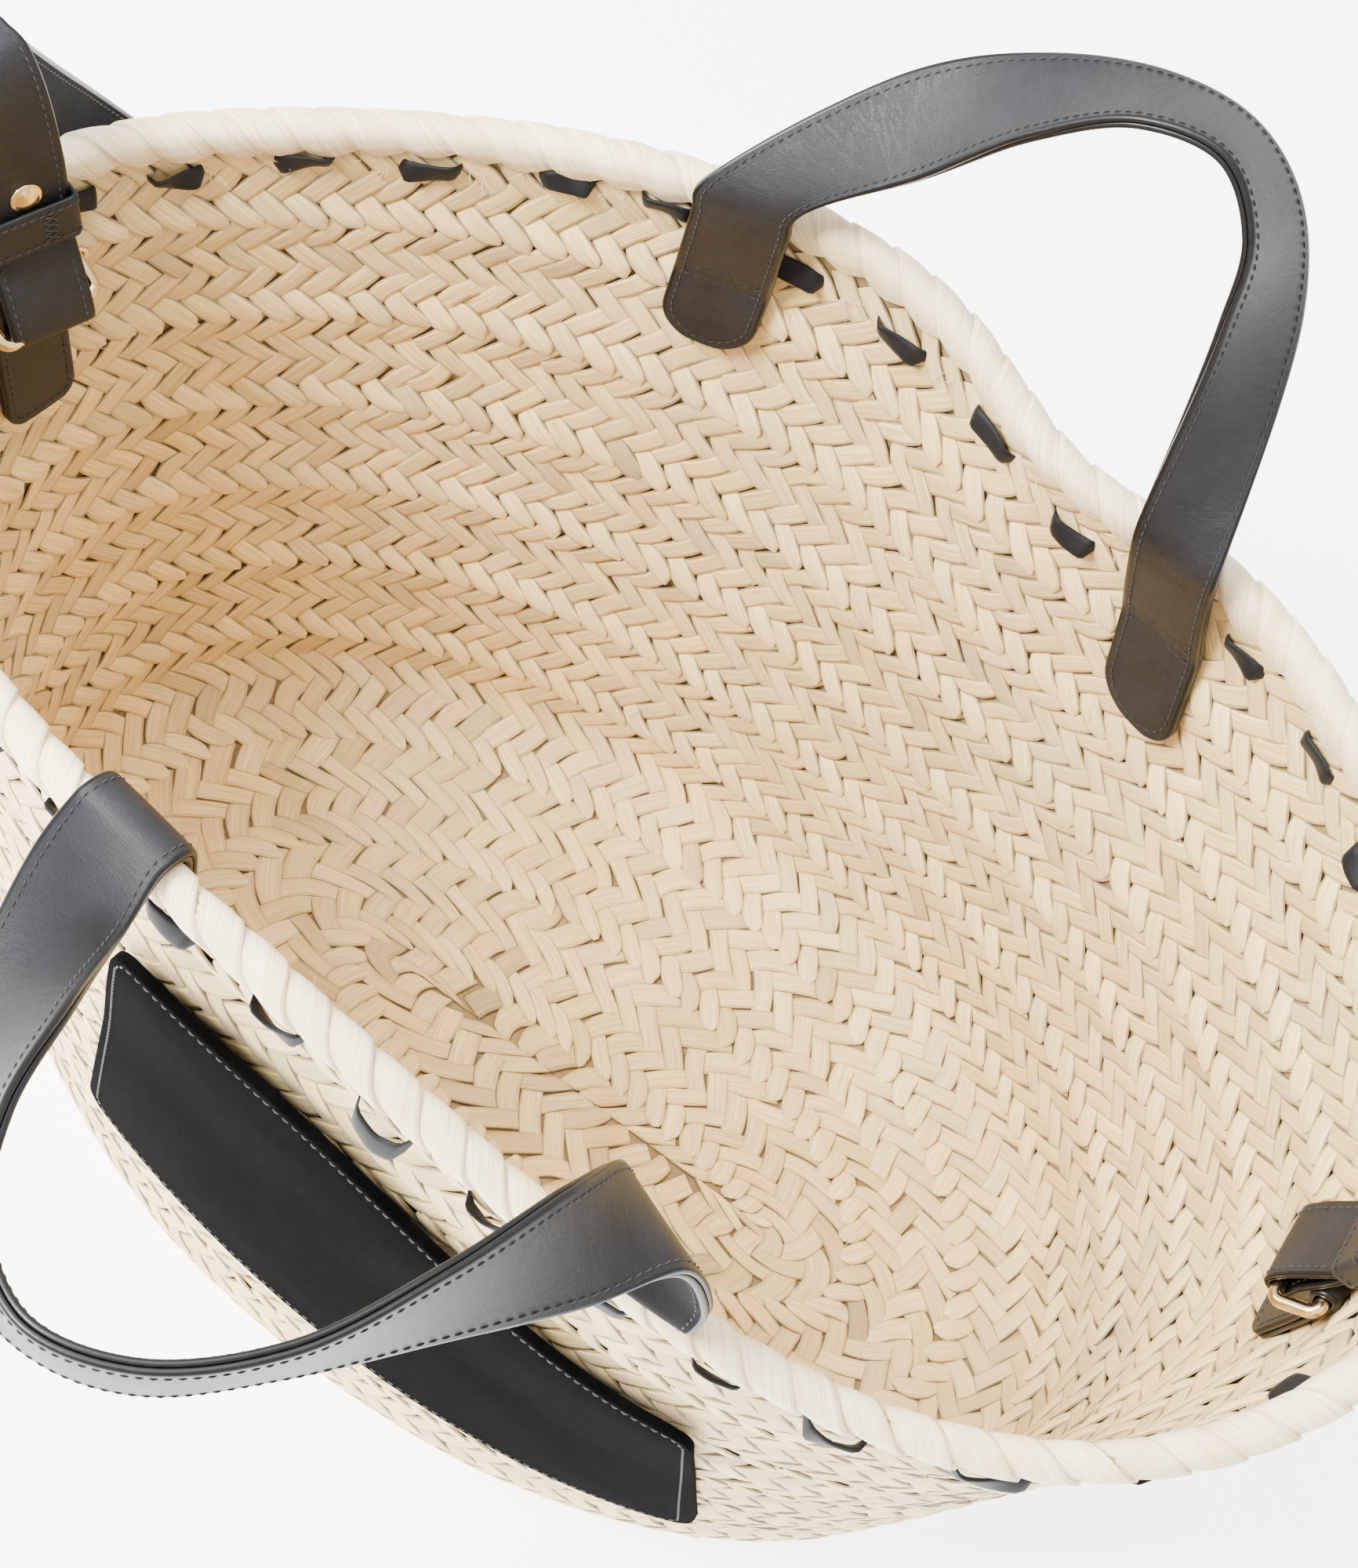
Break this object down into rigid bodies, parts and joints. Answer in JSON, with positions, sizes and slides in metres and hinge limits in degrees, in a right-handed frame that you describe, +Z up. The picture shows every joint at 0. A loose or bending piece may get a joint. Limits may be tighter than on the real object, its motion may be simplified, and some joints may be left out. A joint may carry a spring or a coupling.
{
  "type": "woven market basket",
  "caption": "Oval open basket of flat palm plaits with a wrapped and laced rim, folding leather carrying handles, a leather front panel and a leather shoulder strap.",
  "frame": {"origin": "centre of the flat base, on the surface that the basket stands on", "axes": "+X along the long side of the oval, +Y from the front panel towards the back handle, +Z up through the open mouth"},
  "size_m": [0.575, 0.4778, 0.4193],
  "materials": {
    "palm_straw": "natural dried palm strands, satin, cream to tan",
    "pale_palm_strip": "bleached palm strip, smooth satin",
    "dark_lace": "soft dark grey lace, matt",
    "black_leather": "smooth grained leather, satin, painted edges",
    "leather_lining": "smooth black lining leather, matt",
    "matte_panel_leather": "fine matt leather",
    "pale_gold": "polished pale gold plate"
  },
  "bodies": {
    "basket": {"woven_body": "palm_straw", "rim_core": "palm_straw", "rim_wrap": "pale_palm_strip", "rim_lace": "dark_lace", "front_handle_left_end": "black_leather", "front_handle_right_end": "black_leather", "back_handle_left_end": "black_leather", "back_handle_right_end": "black_leather", "front_panel": "matte_panel_leather", "left_anchor_tab": "black_leather", "left_strap_end": "black_leather", "left_rivet": "pale_gold", "left_wall_eyelet": "pale_gold", "right_anchor_tab": "black_leather", "right_strap_end": "black_leather", "right_rivet": "pale_gold", "right_wall_eyelet": "pale_gold"},
    "front_handle": {"front_handle_face": "black_leather", "front_handle_lining": "leather_lining"},
    "back_handle": {"back_handle_face": "black_leather", "back_handle_lining": "leather_lining"},
    "shoulder_strap": {"shoulder_strap_face": "black_leather", "shoulder_strap_lining": "leather_lining"},
    "left_ring": {"left_strap_ring": "pale_gold"},
    "right_ring": {"right_strap_ring": "pale_gold"},
    "left_keeper": {"left_keeper": "black_leather"},
    "right_keeper": {"right_keeper": "black_leather"}
  },
  "joints": [
    {"name": "front_handle_swing", "type": "hinge", "parent": "basket", "child": "front_handle", "pos_m": [0, -0.14256, 0.31235], "axis": [0.9852, -0.0236, -0.1698], "range_deg": [-115, 80]},
    {"name": "back_handle_swing", "type": "hinge", "parent": "basket", "child": "back_handle", "pos_m": [0.005, 0.14519, 0.30806], "axis": [0.9958, -0.0202, -0.0896], "range_deg": [-110, 70]},
    {"name": "shoulder_strap_swing", "type": "hinge", "parent": "basket", "child": "shoulder_strap", "pos_m": [0.0014, 0.005, 0.36269], "axis": [0.9996, 0, 0.0265], "range_deg": [0, 130]},
    {"name": "left_ring_tilt", "type": "hinge", "parent": "basket", "child": "left_ring", "pos_m": [-0.23515, 0.00328, 0.26671], "axis": [0.1539, 0.9881, 0], "range_deg": [-4, 4]},
    {"name": "right_ring_tilt", "type": "hinge", "parent": "basket", "child": "right_ring", "pos_m": [0.2332, 0.00428, 0.24667], "axis": [-0.0431, 0.9991, 0], "range_deg": [-4, 4]},
    {"name": "left_keeper_slide", "type": "slide", "parent": "basket", "child": "left_keeper", "axis": [0.1505, -0.0234, -0.9883], "range_m": [0, 0.003]},
    {"name": "right_keeper_slide", "type": "slide", "parent": "basket", "child": "right_keeper", "axis": [-0.142, -0.0061, -0.9898], "range_m": [0, 0.003]}
  ]
}
